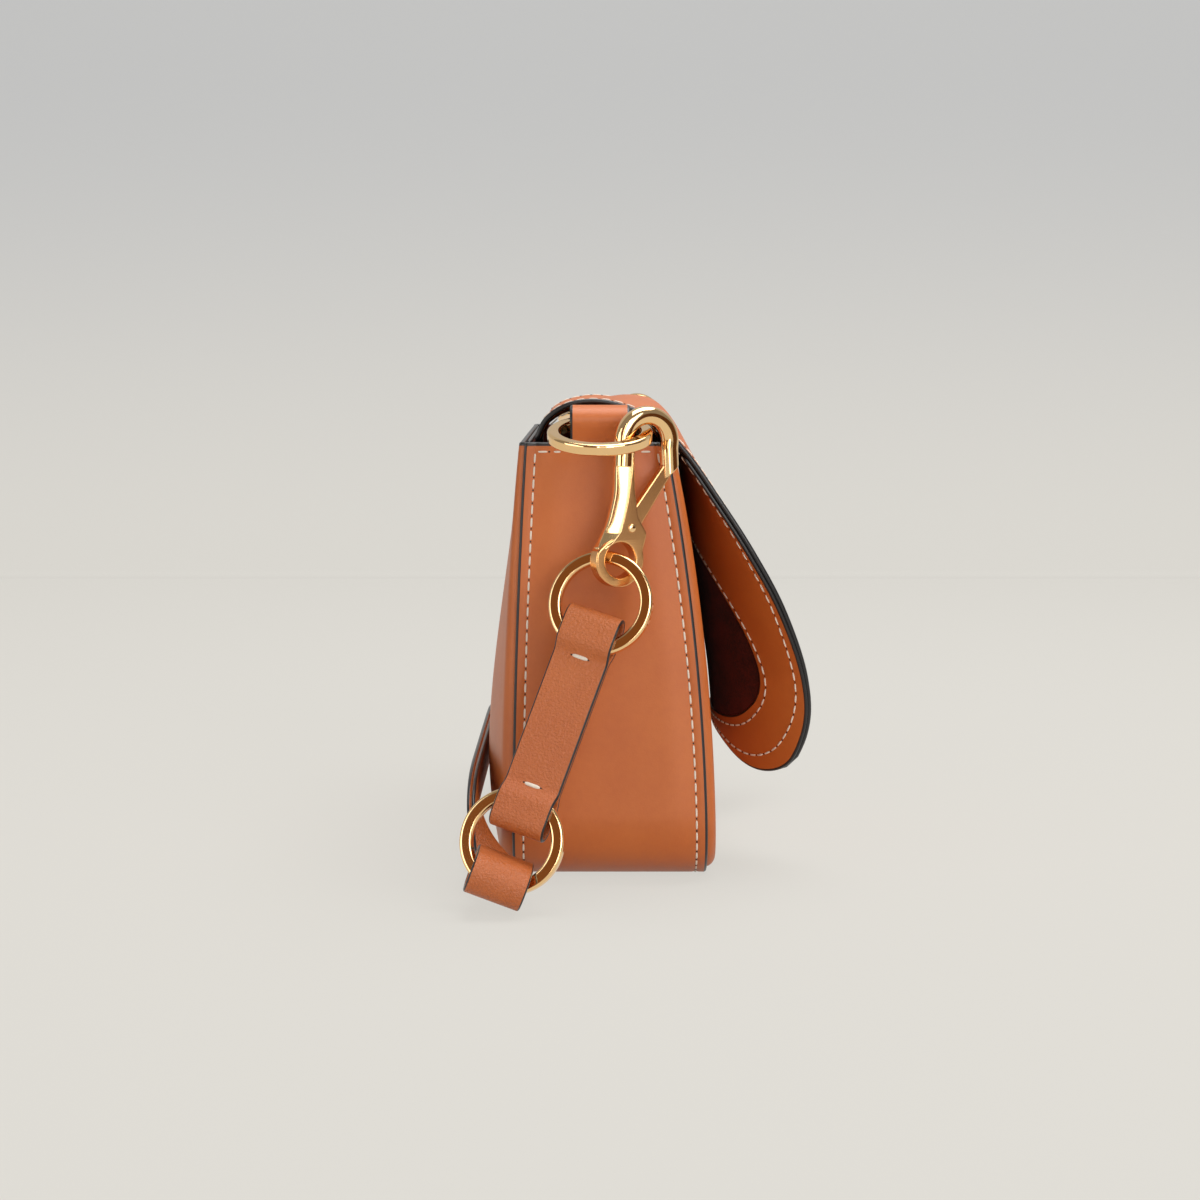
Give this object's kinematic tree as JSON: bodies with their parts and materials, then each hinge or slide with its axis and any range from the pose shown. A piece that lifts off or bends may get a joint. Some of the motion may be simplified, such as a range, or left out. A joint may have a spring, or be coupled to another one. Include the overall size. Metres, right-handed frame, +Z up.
{
  "type": "shoulder handbag",
  "caption": "Small leather shoulder bag with a flared magnetic flap and a short strap on rings and snap hooks.",
  "frame": {"origin": "middle of the underside", "axes": "+X along the bag, the front with the flap faces -Y, +Z up"},
  "size_m": [0.324, 0.1375, 0.1891],
  "materials": {
    "tan_leather": "smooth with a fine grain, edges painted near black",
    "dark_suede": "matt suede",
    "gold_metal": "polished and satin gold plating",
    "white_thread": "waxed thread",
    "board": "matt",
    "magnet_steel": "plain",
    "spring_steel": "bright"
  },
  "bodies": {
    "body": {"front_panel": "tan_leather", "back_panel": "tan_leather", "gusset": "tan_leather", "base_board": "board", "front_lining": "dark_suede", "back_lining": "dark_suede", "gusset_lining": "dark_suede", "inner_pocket": "dark_suede", "flap_tail": "tan_leather", "body_magnet": "magnet_steel", "left_tab": "tan_leather", "right_tab": "tan_leather"},
    "flap": {"flap_leather": "tan_leather", "flap_facing": "tan_leather", "flap_suede": "dark_suede", "flap_magnet": "magnet_steel"},
    "left_side_ring": {"left_side_ring": "gold_metal"},
    "left_hook": {"left_hook": "gold_metal", "left_gate_pin": "gold_metal", "left_gate_spring": "spring_steel"},
    "left_gate": {"left_gate": "gold_metal"},
    "left_upper_ring": {"left_upper_ring": "gold_metal"},
    "left_link": {"left_link": "tan_leather", "left_link_stitches": "white_thread"},
    "left_lower_ring": {"left_lower_ring": "gold_metal"},
    "right_side_ring": {"right_side_ring": "gold_metal"},
    "right_hook": {"right_hook": "gold_metal", "right_gate_pin": "gold_metal", "right_gate_spring": "spring_steel"},
    "right_gate": {"right_gate": "gold_metal"},
    "right_upper_ring": {"right_upper_ring": "gold_metal"},
    "right_link": {"right_link": "tan_leather", "right_link_stitches": "white_thread"},
    "right_lower_ring": {"right_lower_ring": "gold_metal"},
    "band": {"middle_band": "tan_leather", "band_stitches": "white_thread"}
  },
  "joints": [
    {"name": "flap_lift", "type": "hinge", "parent": "body", "child": "flap", "pos_m": [0, 0.03, 0.17252], "axis": [-1, 0, 0], "range_deg": [0, 110]},
    {"name": "left_side_ring_turn", "type": "hinge", "parent": "body", "child": "left_side_ring", "pos_m": [-0.11586, 0.004, 0.17594], "axis": [-0.2588, 0, 0.9659], "continuous": true},
    {"name": "left_hook_swing", "type": "hinge", "parent": "body", "child": "left_hook", "pos_m": [-0.11527, -0.01359, 0.1761], "axis": [1, 0, 0], "range_deg": [0, 50]},
    {"name": "left_gate_open", "type": "hinge", "parent": "left_hook", "child": "left_gate", "pos_m": [-0.1192, -0.00677, 0.14118], "axis": [-0.866, -0.5, 0], "range_deg": [0, 16], "stiffness_Nm_per_rad": 0.02, "springref_deg": -11.46},
    {"name": "left_upper_ring_turn", "type": "hinge", "parent": "left_hook", "child": "left_upper_ring", "pos_m": [-0.12543, 0.00369, 0.11322], "axis": [-0.9313, 0.2125, 0.2957], "continuous": true},
    {"name": "left_link_swing", "type": "hinge", "parent": "left_hook", "child": "left_link", "pos_m": [-0.12543, 0.00369, 0.11322], "axis": [1, 0, 0], "range_deg": [0, 16]},
    {"name": "left_lower_ring_turn", "type": "hinge", "parent": "left_link", "child": "left_lower_ring", "pos_m": [-0.14547, 0.03667, 0.02641], "axis": [-0.9313, 0.2125, 0.2957], "continuous": true},
    {"name": "right_side_ring_turn", "type": "hinge", "parent": "body", "child": "right_side_ring", "pos_m": [0.11586, 0.004, 0.17594], "axis": [0.2588, 0, 0.9659], "continuous": true},
    {"name": "right_hook_swing", "type": "hinge", "parent": "body", "child": "right_hook", "pos_m": [0.11527, -0.01359, 0.1761], "axis": [1, 0, 0], "range_deg": [0, 50]},
    {"name": "right_gate_open", "type": "hinge", "parent": "right_hook", "child": "right_gate", "pos_m": [0.1192, -0.00677, 0.14118], "axis": [-0.866, 0.5, 0], "range_deg": [0, 16], "stiffness_Nm_per_rad": 0.02, "springref_deg": -11.46},
    {"name": "right_upper_ring_turn", "type": "hinge", "parent": "right_hook", "child": "right_upper_ring", "pos_m": [0.12543, 0.00369, 0.11322], "axis": [0.9313, 0.2125, 0.2957], "continuous": true},
    {"name": "right_link_swing", "type": "hinge", "parent": "right_hook", "child": "right_link", "pos_m": [0.12543, 0.00369, 0.11322], "axis": [1, 0, 0], "range_deg": [0, 16]},
    {"name": "right_lower_ring_turn", "type": "hinge", "parent": "right_link", "child": "right_lower_ring", "pos_m": [0.14547, 0.03667, 0.02641], "axis": [0.9313, 0.2125, 0.2957], "continuous": true},
    {"name": "band_tip", "type": "hinge", "parent": "left_link", "child": "band", "pos_m": [-0.14547, 0.03667, 0.02641], "axis": [1, 0, 0], "range_deg": [-30, 0]}
  ],
  "couplings": [
    {"joint": "right_hook_swing", "follows": "left_hook_swing", "ratio": 1},
    {"joint": "right_link_swing", "follows": "left_link_swing", "ratio": 1}
  ]
}
